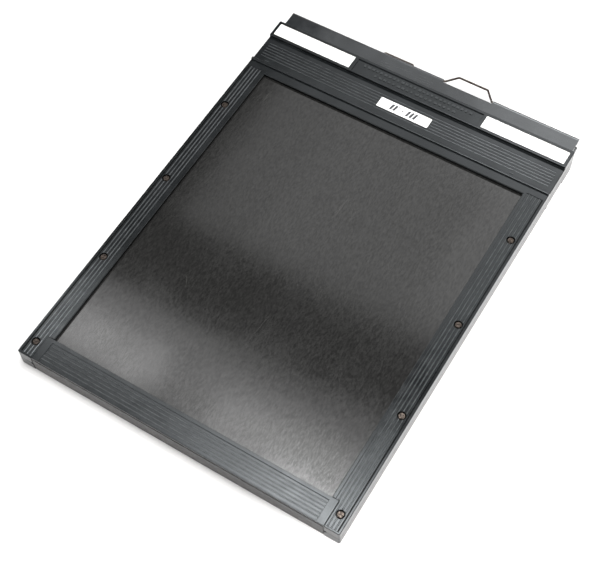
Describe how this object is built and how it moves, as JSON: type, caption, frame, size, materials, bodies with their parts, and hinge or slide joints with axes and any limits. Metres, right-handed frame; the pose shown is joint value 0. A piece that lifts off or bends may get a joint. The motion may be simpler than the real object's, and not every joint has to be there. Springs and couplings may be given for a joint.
{
  "type": "sheet film holder",
  "caption": "Flat double-sided holder for large sheet film, with sliding dark slides, wire pull loops, hinged loading flaps and a ribbed frame.",
  "frame": {"origin": "middle of the overall box, on the plane of the rear header that the holder lies on", "axes": "+Y from the loading flaps to the slide handles, +X to the right with the front face up, +Z out of the front face"},
  "size_m": [0.2364, 0.3368, 0.019],
  "materials": {
    "moulded_black": "fine satin moulded plastic",
    "black_laminate": "semi-gloss laminate with a fine lengthwise grain",
    "black_lacquer": "satin black lacquer",
    "dark_wire": "dark oxidised wire",
    "hinge_tape": "smooth black vinyl tape",
    "sticker_ink": "printed dark ink",
    "black_velvet": "short black pile",
    "spring_steel": "rolled spring strip",
    "white_label": "matt white write-on film",
    "grey_sheet": "black anodised sheet",
    "brass_screws": "tarnished brass"
  },
  "bodies": {
    "holder": {"front_frame": "moulded_black", "front_right_film_guide": "moulded_black", "front_left_film_guide": "moulded_black", "front_film_stop": "moulded_black", "front_light_trap_velvet": "black_velvet", "front_light_trap_spring": "spring_steel", "front_right_label": "white_label", "front_left_label": "white_label", "front_size_sticker": "white_label", "rear_frame": "moulded_black", "rear_right_film_guide": "moulded_black", "rear_left_film_guide": "moulded_black", "rear_film_stop": "moulded_black", "rear_light_trap_velvet": "black_velvet", "rear_light_trap_spring": "spring_steel", "rear_right_label": "white_label", "rear_left_label": "white_label", "rear_size_sticker": "white_label", "septum": "grey_sheet", "binding_screws": "brass_screws", "binding_barrels": "brass_screws"},
    "front_slide": {"front_dark_slide": "black_laminate", "front_slide_handle": "black_lacquer"},
    "rear_slide": {"rear_dark_slide": "black_laminate", "rear_slide_handle": "black_lacquer"},
    "front_pull": {"front_pull_loop": "dark_wire"},
    "rear_pull": {"rear_pull_loop": "dark_wire"},
    "front_flap": {"front_loading_flap": "moulded_black", "front_flap_tape": "hinge_tape"},
    "rear_flap": {"rear_loading_flap": "moulded_black", "rear_flap_tape": "hinge_tape"}
  },
  "joints": [
    {"name": "front_slide_draw", "type": "slide", "parent": "holder", "child": "front_slide", "axis": [0, 1, 0], "range_m": [0, 0.312]},
    {"name": "rear_slide_draw", "type": "slide", "parent": "holder", "child": "rear_slide", "axis": [0, 1, 0], "range_m": [0, 0.312]},
    {"name": "front_pull_swing", "type": "hinge", "parent": "front_slide", "child": "front_pull", "pos_m": [0.03, 0.15949, 0.01425], "axis": [1, 0, 0], "range_deg": [-60, 125]},
    {"name": "rear_pull_swing", "type": "hinge", "parent": "rear_slide", "child": "rear_pull", "pos_m": [-0.03, 0.15949, 0.00475], "axis": [-1, 0, 0], "range_deg": [-50, 135]},
    {"name": "front_flap_fold", "type": "hinge", "parent": "holder", "child": "front_flap", "pos_m": [0, -0.16841, 0.0095], "axis": [1, 0, 0], "range_deg": [0, 90]},
    {"name": "rear_flap_fold", "type": "hinge", "parent": "holder", "child": "rear_flap", "pos_m": [0, -0.16841, 0.0095], "axis": [-1, 0, 0], "range_deg": [0, 90]}
  ]
}
